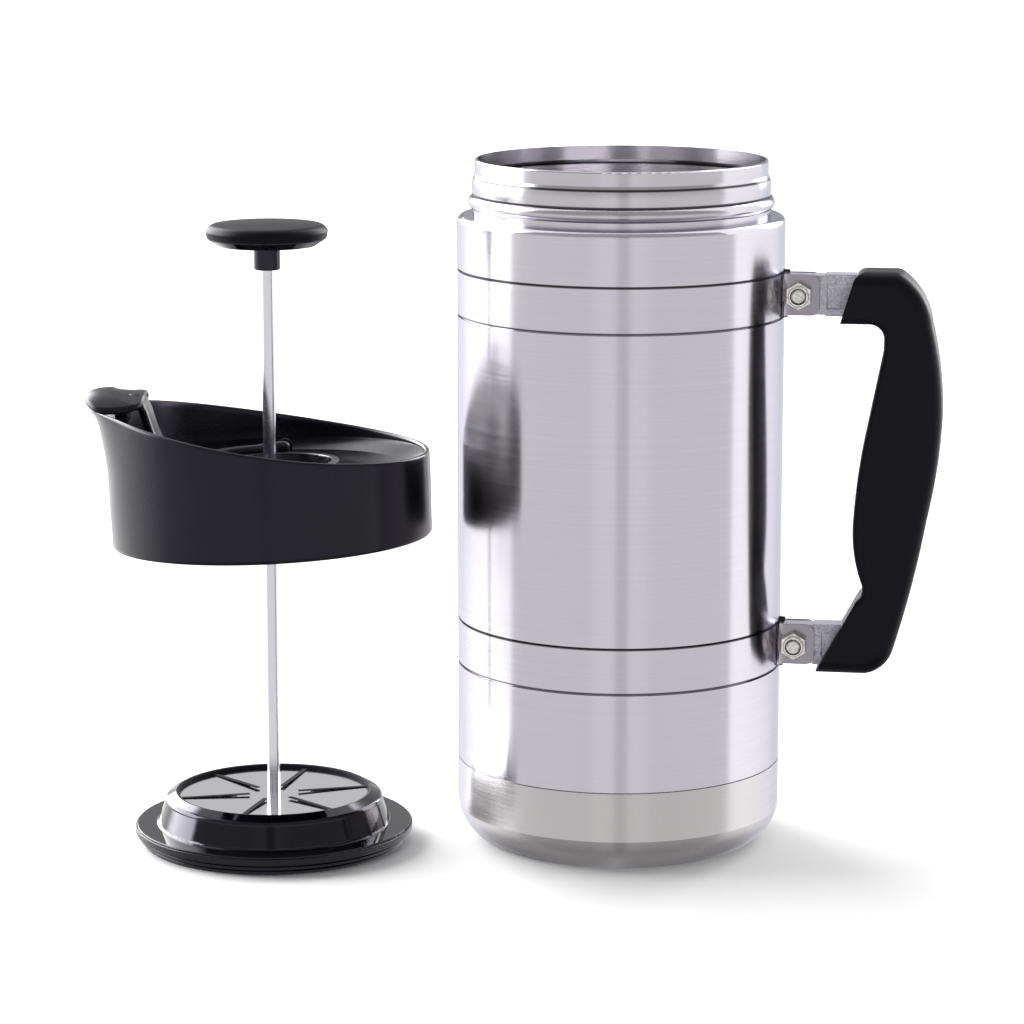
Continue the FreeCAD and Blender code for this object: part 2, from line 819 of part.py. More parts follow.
def make_lower_retainer():
    """The grid that holds the mesh up: hub, six arms and a rim that the press stands on."""
    body = new_body("lower_retainer")
    edge = dim("retainer_radius")
    top = dim("screen_bottom")
    hole = dim("screw_radius") + 0.02
    revolve(body, "Disc", [(3.7, 0), (7.5, 0), (8.5, 0.5), (edge - 5, 0.5), (edge - 4.4, 0),
                           (edge - 0.4, 0), (edge, 0.4), (edge, top), (hole, top), (hole, 1.6)])
    near = dim("window_start")
    near_half = dim("window_start_half")
    far = dim("window_end")
    far_half = dim("window_end_half")
    near_arc = (near * near + near_half * near_half).root()
    far_arc = (far * far + far_half * far_half).root()
    window = extrude(body, "Window", lambda sketch: outline(sketch, [
        (near, -near_half), (far, -far_half, far_arc), (far, far_half),
        (near, near_half, -near_arc)]), top * 2, "XY_Plane", True, top / 2, cut=True)
    repeat_round(body, "Windows", window, 6)
    return stand(body)


def make_retainer_screw():
    body = new_body("retainer_screw")
    shank = dim("screw_radius")
    revolve(body, "Screw", [(0, 0.3), (3.3, 0.3), (shank, 1.6), (shank, 7.5),
                            (shank - 0.4, 8.0), (0, 8.0)])
    return stand(body)


def make_wiper_seal():
    """The silicone wiper with three ribs, clipped round the edge of the stack."""
    body = new_body("wiper_seal")
    inner = dim("seal_inner_radius")
    widest = dim("seal_radius")
    bottom = dim("seal_bottom")
    pitch = dim("rib_pitch")
    depth = dim("rib_depth")
    tip = 0.3
    corners = [(inner, bottom)]
    for number, height in enumerate((dim("rib_height"), dim("rib_height"), dim("top_rib_height"))):
        start = bottom + pitch * number
        end = start + height
        edge = widest - dim("rib_taper") * (2 - number)
        corners += [(edge - depth, start), (edge - tip, start, tip), (edge, start + tip),
                    (edge, end - tip, tip), (edge - tip, end), (edge - depth, end)]
    corners.append((inner, end))
    revolve(body, "Ribs", corners)
    return stand(body)


# ---------------------------------------------------------------- the lid
def lid_placement():
    """Hangs the lid on the rod: turned, and leaning about the point where it grips."""
    lean_way = math.radians(dim("lid_lean_towards").value)
    axis = Vector(math.sin(lean_way), -math.cos(lean_way), 0)
    grip = Vector(0, 0, (dim("deck_underside") + dim("deck_wall") / 2).value)
    rod = Vector(dim("press_x").value, dim("press_y").value, dim("lid_height").value)
    turn = Placement(Vector(), Rotation(Vector(0, 0, 1), dim("lid_turn").value))
    lean = Placement(Vector(), Rotation(axis, dim("lid_lean").value))
    return Placement(rod + grip, Rotation()) * lean * turn * Placement(-grip, Rotation())


def hang(body):
    body.Placement = lid_placement()
    return body


def make_lid_shell():
    """The skirt, cut to a slanted and slightly hollow rim, with the pouring lip."""
    body = new_body("lid_shell")
    radius = dim("lid_radius")
    wall = dim("lid_wall")
    low = dim("rim_low")
    high = dim("rim_high")
    above = high + 5.0
    revolve(body, "Skirt", [
        (radius - wall, 0), (radius - 1.2, 0, 1.2), (radius, 1.2), (radius + 0.3, low),
        (radius + 0.3, above), (radius - wall, above),
    ])
    half = radius.value
    rise = (high.value - low.value) / 2
    chord = math.hypot(half, rise)
    sag = ((high.value + low.value) / 2 - dim("rim_middle").value) * half / chord
    sweep = (chord ** 2 + sag ** 2) / (2 * sag)

    def above_rim(sketch):
        outline(sketch, [(-60.0, high + 1.6), (-radius, high, sweep), (radius, low),
                         (60.0, low), (60.0, 60.0), (-60.0, 60.0)])

    extrude(body, "RimCut", above_rim, radius * 2 + 8, cut=True)
    reach = dim("spout_reach")
    lip = dim("spout_top")
    revolve(body, "Spout", [
        (-radius + 0.5, 32.0), (-radius - 1.9, 40.0), (-radius - 2.9, 44.4), (-radius - 4.4, 46.7),
        (-reach, lip), (-reach + 0.5, lip + 0.6), (-radius - 3.4, 47.9), (-radius - 1.4, 45.2),
        (-radius + 0.1, 40.0), (-radius + wall, 32.0),
    ], angle=dim("spout_angle").value)
    lug = revolve(body, "Lug", [
        (radius - wall - 0.55, 1.2), (radius - wall + 0.3, 1.2), (radius - wall + 0.3, 3.2),
        (radius - wall - 0.55, 3.0)], angle=24.0)
    repeat_round(body, "Lugs", lug, 3)
    return hang(body)


def make_lid_deck():
    """The bowl's floor: a dish for the knob with a raised ring, a pour hole, two bosses."""
    body = new_body("lid_deck")
    outer = dim("lid_radius") - dim("lid_wall")
    under = dim("deck_underside")
    floor = under + dim("deck_wall")
    dish = dim("dish_radius")
    ring = dish + dim("dish_ring_width")
    top = dim("dish_ring_top")
    rim = dim("rim_low") - 0.9
    seal_bore = dim("grommet_space")
    revolve(body, "Deck", [
        (seal_bore, under), (outer, under), (outer, rim), (44.0, 24.3), (34.0, 22.9),
        (ring + 1.9, 22.4), (ring + 1.1, 22.7, -1.9), (ring + 0.3, top - 0.4, 0.5),
        (ring - 0.2, top), (dish + 0.5, top, 0.5), (dish, top - 0.5),
        (dish - 0.8, floor + 1.1, -1.2), (dish - 1.8, floor), (seal_bore, floor),
    ])
    boss_foot = under + 1.0
    hinge_x = dim("hinge_x")
    hinge = dim("hinge_height")
    round_top = dim("boss_wall")
    middle = dim("boss_middle")
    for side, lift in (("Front", middle), ("Back", -middle)):
        extrude(body, side + "Boss", lambda sketch: outline(sketch, [
            (hinge_x - round_top, boss_foot), (hinge_x + round_top, boss_foot),
            (hinge_x + round_top, hinge, round_top), (hinge_x, hinge + round_top, round_top),
            (hinge_x - round_top, hinge)]), dim("boss_wall"), lift=lift)
    extrude(body, "PinHoles", lambda sketch: circle(sketch, dim("hinge_pin_radius"), hinge_x, hinge),
            (middle + round_top) * 2, cut=True)
    extrude(body, "PourHole", lambda sketch: rectangle(sketch, -50.5, under - 1, -41.0, rim + 2),
            22.0, cut=True)
    return hang(body)


def make_lid_gasket():
    """The silicone ring under the deck that closes on the carafe's rim."""
    body = new_body("lid_gasket")
    bottom = dim("gasket_bottom")
    top = dim("deck_underside")
    inner = dim("gasket_inner_radius")
    outer = dim("gasket_outer_radius")
    revolve(body, "Ring", [(inner, bottom + 0.4, 0.4), (inner + 0.4, bottom), (outer - 0.4, bottom, 0.4),
                           (outer, bottom + 0.4), (outer, top), (inner, top)])
    return hang(body)


def make_hinge_pin(label, lift):
    body = new_body(label)
    extrude(body, "Pin", lambda sketch: circle(sketch, dim("hinge_pin_radius"), dim("hinge_x"),
                                               dim("hinge_height")),
            dim("hinge_pin_length"), lift=lift)
    return hang(body)


def make_rod_seal():
    """The silicone grommet that slides on the rod and holds the lid in its groove."""
    body = new_body("rod_seal")
    bore = dim("rod_radius") + 0.06
    waist = dim("grommet_waist")
    flange = dim("grommet_radius")
    middle = dim("lid_height") + dim("deck_underside") + dim("deck_wall") / 2
    reach = dim("deck_wall") / 2 + 0.7
    revolve(body, "Grommet", [
        (bore, middle - reach - 1.2), (flange - 0.6, middle - reach - 1.2), (flange, middle - reach - 0.6),
        (flange, middle - reach), (waist, middle - reach), (waist, middle + reach),
        (flange, middle + reach), (flange - 0.8, middle + reach + 1.0), (bore, middle + reach + 1.0),
    ])
    return stand(body)


def make_flip_cap():
    """The cap over the spout: thumb pad, stem, and a yoke that straddles the knob's dish."""
    body = new_body("flip_cap")
    inner = dim("yoke_inner_radius")
    outer = dim("yoke_outer_radius")
    hinge_x = dim("hinge_x")
    hinge = dim("hinge_height")
    bottom = dim("yoke_bottom")
    top = dim("yoke_top")
    inner_y = (inner * inner - hinge_x * hinge_x).root()
    outer_y = (outer * outer - hinge_x * hinge_x).root()

    def yoke(sketch):
        outline(sketch, [
            (hinge_x, outer_y, outer), (-outer, 0, outer), (hinge_x, -outer_y),
            (hinge_x, -inner_y, -inner), (-inner, 0, -inner), (hinge_x, inner_y),
        ])

    extrude(body, "Yoke", yoke, top - bottom, "XY_Plane", True, (top + bottom) / 2)
    pad_bottom = dim("pad_underside")
    pad_top = dim("pad_top")
    extrude(body, "Stem", lambda sketch: outline(sketch, [
        (-39.0, bottom), (-29.0, bottom), (-29.0, top), (-33.4, top), (-36.8, 36.4),
        (-40.2, pad_bottom + 0.4), (-46.4, pad_bottom + 0.4), (-42.6, 38.0)]), dim("stem_width"))

    def pad(sketch):
        outline(sketch, [(-41.0, -14.2), (-39.6, 0, 72.0), (-41.0, 14.2, 3.0), (-44.8, 16.4, 60.0),
                         (-52.8, 14.4, 14.0), (-59.9, 0, 14.0), (-52.8, -14.4, 60.0),
                         (-44.8, -16.4, 3.0)])

    extrude(body, "Pad", pad, pad_top - pad_bottom, "XY_Plane", True, (pad_top + pad_bottom) / 2)
    middle = dim("knuckle_middle")
    for side, lift in (("Front", middle), ("Back", -middle)):
        extrude(body, side + "Knuckle",
                lambda sketch: circle(sketch, dim("knuckle_radius"), hinge_x, hinge),
                dim("knuckle_wall"), lift=lift)
    bore = dim("hinge_pin_radius") + 0.05
    extrude(body, "PinBore", lambda sketch: circle(sketch, bore, hinge_x, hinge),
            (middle + dim("knuckle_wall")) * 2, cut=True)
    return hang(body)


def make_spout_plug():
    """The soft plug under the thumb pad that closes the spout's throat."""
    body = new_body("spout_plug")
    top = dim("pad_underside")
    extrude(body, "Plug", lambda sketch: outline(sketch, [
        (-50.6, 43.4), (-47.2, 42.4), (-46.8, top), (-51.4, top)]), dim("plug_width"))
    return hang(body)


# ---------------------------------------------------------------- build, check, write
LOWER = dim("lower_band_middle")
UPPER = dim("upper_band_middle")
PIECES = [
    make_inner_vessel(),
    make_outer_shell(),
    make_base_cup(),
    make_band("lower_band", LOWER),
    make_band("upper_band", UPPER),
    make_handle_core(),
    make_handle_grip(),
    make_bolt("lower_bolt", LOWER),
    make_bolt("upper_bolt", UPPER),
    make_locknut("lower_locknut", LOWER),
    make_locknut("upper_locknut", UPPER),
    make_nut_insert("lower_nut_insert", LOWER),
    make_nut_insert("upper_nut_insert", UPPER),
    make_rod(),
    make_knob_cap(),
    make_knob_base(),
    make_knob_insert(),
    make_filter_frame(),
    make_press_plate(),
    make_press_hub(),
    make_mesh_screen(),
    make_lower_retainer(),
    make_retainer_screw(),
    make_wiper_seal(),
    make_lid_shell(),
    make_lid_deck(),
    make_lid_gasket(),
    make_hinge_pin("front_hinge_pin", dim("hinge_pin_middle")),
    make_hinge_pin("back_hinge_pin", -dim("hinge_pin_middle")),
    make_rod_seal(),
    make_flip_cap(),
    make_spout_plug(),
]


def check_and_write():
    document.recompute()
    failed = [item.Name for item in document.Objects
              if "Invalid" in item.State or "Error" in item.State]
    bad = [piece.Label for piece in PIECES if piece.Shape.isNull() or not piece.Shape.isValid()]
    if failed or bad:
        raise RuntimeError(f"failed objects {failed}, bad shapes {bad}")
    os.makedirs("parts", exist_ok=True)
    for piece in PIECES:
        piece.Shape.exportStep(f"parts/{piece.Label}.step")
        print(f"{piece.Label}: {len(piece.Shape.Solids)} solid, {piece.Shape.Volume:.1f} mm3")


check_and_write()
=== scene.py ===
import math

import bmesh
import bpy
from mathutils import Matrix, Vector


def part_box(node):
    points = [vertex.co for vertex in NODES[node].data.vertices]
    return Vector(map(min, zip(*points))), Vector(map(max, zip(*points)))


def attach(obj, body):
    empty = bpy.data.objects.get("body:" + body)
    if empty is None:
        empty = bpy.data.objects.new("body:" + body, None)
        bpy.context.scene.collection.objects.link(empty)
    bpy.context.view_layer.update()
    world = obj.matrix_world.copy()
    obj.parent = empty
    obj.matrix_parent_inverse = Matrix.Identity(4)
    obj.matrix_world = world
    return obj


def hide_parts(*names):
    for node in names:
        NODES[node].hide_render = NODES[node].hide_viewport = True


# A double-walled steel french press taken apart: the handled carafe, and beside it the plunger
# with the lid hung part-way down its rod.  The object's frame, in metres; the lid's own pieces
# are drawn in millimetres in the lid's own frame and then placed.

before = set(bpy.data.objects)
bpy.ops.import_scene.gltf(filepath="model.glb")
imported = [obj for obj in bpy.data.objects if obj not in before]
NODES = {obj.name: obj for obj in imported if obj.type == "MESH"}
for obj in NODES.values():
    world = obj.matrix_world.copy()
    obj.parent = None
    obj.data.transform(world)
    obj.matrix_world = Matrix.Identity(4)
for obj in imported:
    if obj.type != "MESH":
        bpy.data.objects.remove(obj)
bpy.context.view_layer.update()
MM = 0.001
CARAFE = (0.0, 0.0)
ROD_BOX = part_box("rod")
PRESS_X, PRESS_Y, _ = (ROD_BOX[0] + ROD_BOX[1]) / 2
PRESS = (PRESS_X, PRESS_Y)


# ---------------------------------------------------------------- shaders
class Shader:
    """One node tree with a surface shader, and short ways to add the nodes that feed it."""

    def __init__(self, tree, surface):
        self.tree = tree
        self.surface = surface

    def feed(self, node, socket, value):
        """Sets a socket to a value, or links another node's output to it."""
        target = node.inputs[socket] if isinstance(socket, int) else node.inputs[socket.replace("_", " ")]
        if isinstance(value, bpy.types.NodeSocket):
            self.tree.links.new(value, target)
        elif isinstance(value, (tuple, list)) and len(value) == 3 and target.type == "RGBA":
            target.default_value = (*value, 1.0)
        else:
            target.default_value = value

    def add(self, kind, inputs=None, **settings):
        node = self.tree.nodes.new("ShaderNode" + kind)
        for name, value in settings.items():
            setattr(node, name, value)
        for socket, value in (inputs or {}).items():
            self.feed(node, socket, value)
        return node

    def place(self):
        """Where a point lies on the object, in metres."""
        return self.add("TexCoord").outputs["Object"]

    def split(self, vector):
        """A vector's three parts, by the names X, Y and Z."""
        return self.add("SeparateXYZ", {0: vector}).outputs

    def from_axis(self, centre):
        """The way to a point from an upright axis, in three parts."""
        way = self.add("VectorMath", {0: self.place(), 1: (*centre, 0.0)}, operation="SUBTRACT")
        return self.split(way.outputs[0])

    def outwards(self, parts):
        """How far out from that axis the point lies."""
        flat = self.add("CombineXYZ", {"X": parts["X"], "Y": parts["Y"]}).outputs[0]
        return self.add("VectorMath", {0: flat}, operation="LENGTH").outputs["Value"]

    def scaled(self, vector, scale):
        return self.add("Mapping", {"Vector": vector, "Scale": scale}).outputs[0]

    def math(self, operation, first, second=0.0):
        return self.add("Math", {0: first, 1: second}, operation=operation).outputs[0]

    def noise(self, vector, scale, detail=2.0, roughness=0.5):
        node = self.add("TexNoise", {"Vector": vector, "Scale": scale, "Detail": detail,
                                     "Roughness": roughness})
        return node.outputs["Fac"]

    def ramp(self, value, low, high, start, end):
        """Carries start..end of a value to low..high, smoothly, and no further."""
        node = self.add("MapRange", {"Value": value, "From Min": start, "From Max": end,
                                     "To Min": low, "To Max": high}, interpolation_type="SMOOTHSTEP")
        return node.outputs["Result"]

    def colours(self, value, *stops):
        """A colour ramp: stops are (position, colour)."""
        node = self.add("ValToRGB", {"Fac": value})
        elements = node.color_ramp.elements
        while len(elements) < len(stops):
            elements.new(0.5)
        for element, (position, colour) in zip(elements, stops):
            element.position = position
            element.color = (*colour, 1.0)
        return node.outputs["Color"]

    def mixed(self, share, first, second):
        """The first colour turning into the second as the share goes from 0 to 1."""
        return self.add("Mix", {0: share, 6: first, 7: second}, data_type="RGBA").outputs[2]

    def bump(self, height, distance, strength):
        return self.add("Bump", {"Height": height, "Distance": distance, "Strength": strength}).outputs[0]

    def finish(self, paint, dullness, normal):
        """Gives the surface its colour, its roughness and its fine relief."""
        self.feed(self.surface, "Base_Color", paint)
        self.feed(self.surface, "Roughness", dullness)
        self.feed(self.surface, "Normal", normal)


def principled(name, **values):
    material = bpy.data.materials.new(name)
    material.use_nodes = True
    shader = Shader(material.node_tree, material.node_tree.nodes["Principled BSDF"])
    for socket, value in values.items():
        shader.feed(shader.surface, socket, value)
    return shader, material


def tone(colour, factor):
    return tuple(min(channel * factor, 1.0) for channel in colour)


def lathe_place(shader, centre):
    """Coordinates for lathe-like marks about an upright axis: the third grows up and outwards."""
    parts = shader.from_axis(centre)
    rise = shader.math("ADD", parts["Z"], shader.outwards(parts))
    return shader.add("CombineXYZ", {"X": parts["X"], "Y": parts["Y"], "Z": rise}).outputs[0]


EARS_FROM = 0.0555
EARS_BLEND = 0.003
# Painted shade lines, for the shadow in grooves and concave corners: half width, fully dark core (also
# the bore's blend width), darkness.
SHADE_LINE_HALF = 0.0006
NARROW_SPAN = 0.0002
PAINTED_SHADE_DARKNESS = 0.12
EDGE_TINT = (0.55, 0.57, 0.62)
BLACK_TINT = (0.86, 0.82, 1.0)
MATT_EXTRA = 0.9


def brushed_steel(name, colour, roughness, ear_colour=None, shaded_lines=(), bore=0.0, bore_colour=None):
    """Steel brushed round the carafe's axis: fine streaks that vary in depth, tone and gloss.

    At each height in its list of lines a narrow painted shade darkens it, standing in for the shadow
    in a groove or a concave corner.  Beyond EARS_FROM along X it has the ears' colour, and nearer the
    axis than bore it has the bore's colour.
    """
    shader, material = principled(name, Metallic=1.0, Anisotropic=0.8, Anisotropic_Rotation=0.25,
                                  Specular_Tint=EDGE_TINT)
    way = lathe_place(shader, CARAFE)
    fine = shader.noise(shader.scaled(way, (5.0, 5.0, 3400.0)), 1.0, 4.0, 0.65)
    broad = shader.noise(shader.scaled(way, (3.0, 3.0, 600.0)), 1.0, 2.0)
    smudge = shader.noise(shader.place(), 18.0, 3.0)
    streaks = shader.math("ADD", shader.math("MULTIPLY", fine, 0.8), shader.math("MULTIPLY", broad, 0.2))
    paint = shader.colours(streaks, (0.3, tone(colour, 0.95)), (0.7, tone(colour, 1.045)))
    parts = shader.split(shader.place())
    if ear_colour is not None:
        ears = shader.ramp(parts["X"], 0.0, 1.0, EARS_FROM, EARS_FROM + EARS_BLEND)
        paint = shader.mixed(ears, paint, ear_colour)
    if bore_colour is not None:
        inside = shader.ramp(shader.outwards(parts), 1.0, 0.0, bore, bore + NARROW_SPAN)
        paint = shader.mixed(inside, paint, bore_colour)
    # Painted shade: a narrow dark line at each height, for the shadow in a groove or a concave corner.
    for shaded_line in shaded_lines:
        away = shader.math("ABSOLUTE", shader.math("SUBTRACT", parts["Z"], shaded_line))
        shade = shader.ramp(away, PAINTED_SHADE_DARKNESS, 1.0, NARROW_SPAN, SHADE_LINE_HALF)
        paint = shader.add("VectorMath", {0: paint, 1: shade}, operation="MULTIPLY").outputs[0]
    gloss = shader.ramp(streaks, roughness - 0.02, roughness + 0.02, 0.35, 0.65)
    film = shader.ramp(smudge, -0.012, 0.012, 0.35, 0.65)
    tangent = shader.add("Tangent", direction_type="RADIAL", axis="Z").outputs[0]
    shader.finish(paint, shader.math("ADD", gloss, film), shader.bump(streaks, 0.000008, 0.5))
    shader.feed(shader.surface, "Tangent", tangent)
    return material


def bright_steel(name, colour, roughness):
    """Turned or drawn steel, nearly a mirror, with hairline marks and a trace of handling."""
    shader, material = principled(name, Metallic=1.0)
    way = lathe_place(shader, PRESS)
    hairs = shader.noise(shader.scaled(way, (40.0, 40.0, 5200.0)), 1.0, 3.0, 0.6)
    smudge = shader.noise(shader.place(), 55.0, 3.0)
    paint = shader.colours(hairs, (0.3, tone(colour, 0.97)), (0.7, tone(colour, 1.02)))
    dullness = shader.math("ADD", shader.ramp(hairs, roughness * 0.8, roughness * 1.3, 0.3, 0.7),
                           shader.ramp(smudge, 0.0, 0.03, 0.45, 0.75))
    shader.finish(paint, dullness, shader.bump(hairs, 0.000004, 0.4))
    return material


def cast_metal(name, colour, roughness, grain, depth):
    """Cast or pressed metal with a matt, grainy skin that is duller in its pits."""
    shader, material = principled(name, Metallic=1.0)
    grains = shader.noise(shader.place(), grain, 3.0, 0.6)
    patches = shader.noise(shader.place(), grain * 0.12, 2.0)
    paint = shader.colours(grains, (0.3, tone(colour, 0.72)), (0.65, tone(colour, 1.12)))
    dullness = shader.math("ADD", shader.ramp(grains, roughness + 0.08, roughness - 0.06, 0.3, 0.7),
                           shader.ramp(patches, -0.05, 0.05, 0.3, 0.7))
    shader.finish(paint, dullness, shader.bump(grains, depth, 0.8))
    return material


def moulded(name, colour, roughness, specular, grain, depth, matt_within=0.0):
    """Moulded plastic or rubber: an even skin of fine grain with slow changes of gloss.

    Within matt_within of the plunger's axis, if that is given, the skin is matt.
    """
    shader, material = principled(name, Specular_IOR_Level=specular, Specular_Tint=BLACK_TINT)
    grains = shader.noise(shader.place(), grain, 2.0, 0.55)
    clouds = shader.noise(shader.place(), 35.0, 3.0)
    paint = shader.colours(clouds, (0.35, tone(colour, 0.8)), (0.65, tone(colour, 1.25)))
    dullness = shader.math("ADD", shader.ramp(clouds, roughness * 0.9, roughness * 1.1, 0.35, 0.65),
                           shader.ramp(grains, -0.02, 0.02, 0.35, 0.65))
    if matt_within:
        outwards = shader.outwards(shader.from_axis(PRESS))
        matt = shader.ramp(outwards, MATT_EXTRA, 0.0, matt_within, matt_within + 0.001)
        dullness = shader.math("ADD", dullness, matt)
    shader.finish(paint, dullness, shader.bump(grains, depth, 0.6))
    return material


def woven_mesh(name, colour, roughness):
    """A plain weave of fine wire: two crossed sets of ridges a wire apart."""
    shader, material = principled(name, Metallic=1.0)
    parts = shader.from_axis(PRESS)
    moved = shader.add("CombineXYZ", {"X": parts["X"], "Y": parts["Y"], "Z": parts["Z"]}).outputs[0]
    ridges = []
    for direction in ("X", "Y"):
        wave = shader.add("TexWave", {"Vector": moved, "Scale": 700.0}, wave_type="BANDS",
                          bands_direction=direction)
        ridges.append(wave.outputs["Fac"])
    weave = shader.math("MAXIMUM", *ridges)
    paint = shader.colours(weave, (0.35, tone(colour, 0.25)), (0.8, colour))
    shader.finish(paint, roughness, shader.bump(weave, 0.00008, 1.0))
    return material


# ---------------------------------------------------------------- studio
CAMERA_TURN = math.radians(8.8)


def add_camera():
    data = bpy.data.cameras.new("Camera")
    data.lens = 125.79
    data.sensor_width = 36.0
    camera = bpy.data.objects.new("Camera", data)
    bpy.context.scene.collection.objects.link(camera)
    camera.location = (0.14935, -1.20838, 0.3497)
    camera.rotation_euler = (math.radians(79.045), 0.0, CAMERA_TURN)
    bpy.context.scene.camera = camera


# Panels of light round the studio, added to the surroundings: (from, to) in degrees round from the
# camera's side, positive to its right; (from, to) in degrees above the horizon; brightness, below 0
# where the panel is darker than the surroundings; width of the soft edge.  Past 180 there is no edge.
PANELS = [
    ((-84.0, 84.0), (-90.0, 90.0), -0.55, 2.0),
    ((-84.0, 84.0), (8.0, 91.0), -0.42, 4.0),
    ((-20.0, 18.0), (-60.0, 30.0), 0.08, 5.0),
    ((-4.3, 4.3), (-60.0, 30.0), -0.22, 1.5),
    ((-160.0, -86.0), (1.0, 42.0), 9.0, 3.0),
    ((-165.0, -100.0), (-30.0, 1.0), 0.35, 8.0),
    ((131.0, 152.0), (1.0, 42.0), 6.0, 2.0),
    ((155.0, 200.0), (3.0, 40.0), -0.80, 3.0),
    ((-200.0, -164.0), (3.0, 40.0), -0.80, 3.0),
    ((170.0, 200.0), (-35.0, 1.0), -1.00, 4.0),
    ((-200.0, -170.0), (-35.0, 1.0), -1.00, 4.0),
    ((-180.0, 180.0), (-91.0, -30.0), -0.56, 9.0),
    ((86.0, 200.0), (-91.0, -38.0), -0.50, 9.0),
    ((-200.0, -86.0), (-91.0, -38.0), -0.50, 9.0),
]
SURROUNDINGS = 1.40
FLOOR_REACH = 20.0


def add_studio_light():
    """A white studio as panels of light; the camera itself sees plain white behind the object."""
    world = bpy.data.worlds.new("Studio")
    bpy.context.scene.world = world
    world.use_nodes = True
    background = world.node_tree.nodes["Background"]
    sky = Shader(world.node_tree, background)
    away = sky.add("TexCoord").outputs["Generated"]
    turned = sky.add("VectorRotate", {"Vector": away, "Angle": -CAMERA_TURN}, rotation_type="Z_AXIS")
    parts = sky.split(turned.outputs[0])
    forwards = sky.math("MULTIPLY", parts["Y"], -1.0)
    round_way = sky.math("MULTIPLY", sky.math("ARCTAN2", parts["X"], forwards), math.degrees(1.0))
    upward = sky.math("MULTIPLY", sky.math("ARCSINE", parts["Z"]), math.degrees(1.0))
    total = SURROUNDINGS
    for sideways, height, brightness, soft in PANELS:
        shape = brightness
        for value, (low, high) in ((round_way, sideways), (upward, height)):
            rise = sky.ramp(value, 0.0, 1.0, low - soft, low + soft)
            fall = sky.ramp(value, 1.0, 0.0, high - soft, high + soft)
            shape = sky.math("MULTIPLY", sky.math("MULTIPLY", rise, fall), shape)
        total = sky.math("ADD", total, shape)
    seen = sky.add("LightPath").outputs["Is Camera Ray"]
    sky.feed(background, "Color", (1.0, 1.0, 1.0))
    mix = sky.add("Mix", {"Factor": seen, "A": total, "B": 1.0}, data_type="FLOAT").outputs[0]
    sky.feed(background, "Strength", mix)


def add_floor():
    shader, paint = principled("floor_paint", Roughness=0.8)
    speckle = shader.noise(shader.place(), 6.0, 2.0)
    shader.feed(shader.surface, "Base_Color",
                shader.colours(speckle, (0.3, (0.89, 0.89, 0.89)), (0.7, (0.91, 0.91, 0.91))))
    mesh = bpy.data.meshes.new("floor")
    corners = [(-FLOOR_REACH, -FLOOR_REACH, 0), (FLOOR_REACH, -FLOOR_REACH, 0),
               (FLOOR_REACH, FLOOR_REACH, 0), (-FLOOR_REACH, FLOOR_REACH, 0)]
    mesh.from_pydata(corners, [], [(0, 1, 2, 3)])
    mesh.materials.append(paint)
    floor = bpy.data.objects.new("floor", mesh)
    bpy.context.scene.collection.objects.link(floor)
    floor.visible_glossy = False


add_camera()
add_studio_light()
add_floor()
bpy.context.scene.view_settings.view_transform = "Standard"


# ---------------------------------------------------------------- materials
STEEL = (0.64, 0.61, 0.665)
# Painted shade lines at the band edges, for the shadow in the grooves beside the bands.
BAND_EDGES = [corner[2] for band in ("lower_band", "upper_band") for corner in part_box(band)]
# Painted shade lines on the neck, for the shadow in its concave corners at the step, above the bead and
# at the shoulder.
NECK_SHADE_LINES = [0.2164, 0.2247, 0.2305]
shell_steel = brushed_steel("shell_steel", STEEL, 0.18, shaded_lines=BAND_EDGES)
base_steel = brushed_steel("base_steel", (0.62, 0.595, 0.60), 0.26)
band_steel = brushed_steel("band_steel", tone(STEEL, 0.99), 0.19, (0.31, 0.29, 0.32), BAND_EDGES)
liner_steel = brushed_steel("liner_steel", (0.60, 0.575, 0.62), 0.20, shaded_lines=NECK_SHADE_LINES,
                            bore=0.0487, bore_colour=(0.93, 0.91, 0.95))
rod_steel = bright_steel("rod_steel", (0.76, 0.74, 0.80), 0.20)
plate_steel = bright_steel("plate_steel", (0.78, 0.78, 0.82), 0.10)
bolt_steel = cast_metal("bolt_steel", (0.66, 0.64, 0.61), 0.20, 900.0, 0.00001)
nut_steel = cast_metal("nut_steel", (0.75, 0.71, 0.67), 0.22, 900.0, 0.00001)
cast_alloy = cast_metal("cast_alloy", (0.54, 0.525, 0.59), 0.45, 1800.0, 0.00006)
brass = cast_metal("brass", (0.62, 0.45, 0.18), 0.28, 900.0, 0.00001)
hidden_steel = bright_steel("hidden_steel", (0.60, 0.60, 0.60), 0.22)
wire_mesh = woven_mesh("wire_mesh", (0.60, 0.60, 0.60), 0.35)
nylon = moulded("nylon", (0.004, 0.005, 0.009), 0.45, 0.3, 1500.0, 0.00001)
grip_rubber = moulded("grip_rubber", (0.0022, 0.0022, 0.0034), 0.40, 0.17, 2600.0, 0.00002)
knob_black = moulded("knob_black", (0.0018, 0.0018, 0.003), 0.42, 0.15, 2600.0, 0.00001)
gloss_black = moulded("gloss_black", (0.0015, 0.0015, 0.003), 0.07, 0.45, 400.0, 0.000002)
frame_black = moulded("frame_black", (0.0015, 0.0015, 0.003), 0.07, 0.45, 400.0, 0.000002, 0.033)
silicone = moulded("silicone", (0.003, 0.003, 0.005), 0.30, 0.35, 1200.0, 0.000004)
lid_black = moulded("lid_black", (0.0025, 0.0025, 0.0045), 0.24, 0.33, 3000.0, 0.000006)
deck_black = moulded("deck_black", (0.003, 0.003, 0.006), 0.20, 0.32, 3000.0, 0.00001)
cap_black = moulded("cap_black", (0.0025, 0.0025, 0.0045), 0.34, 0.30, 3000.0, 0.00001)

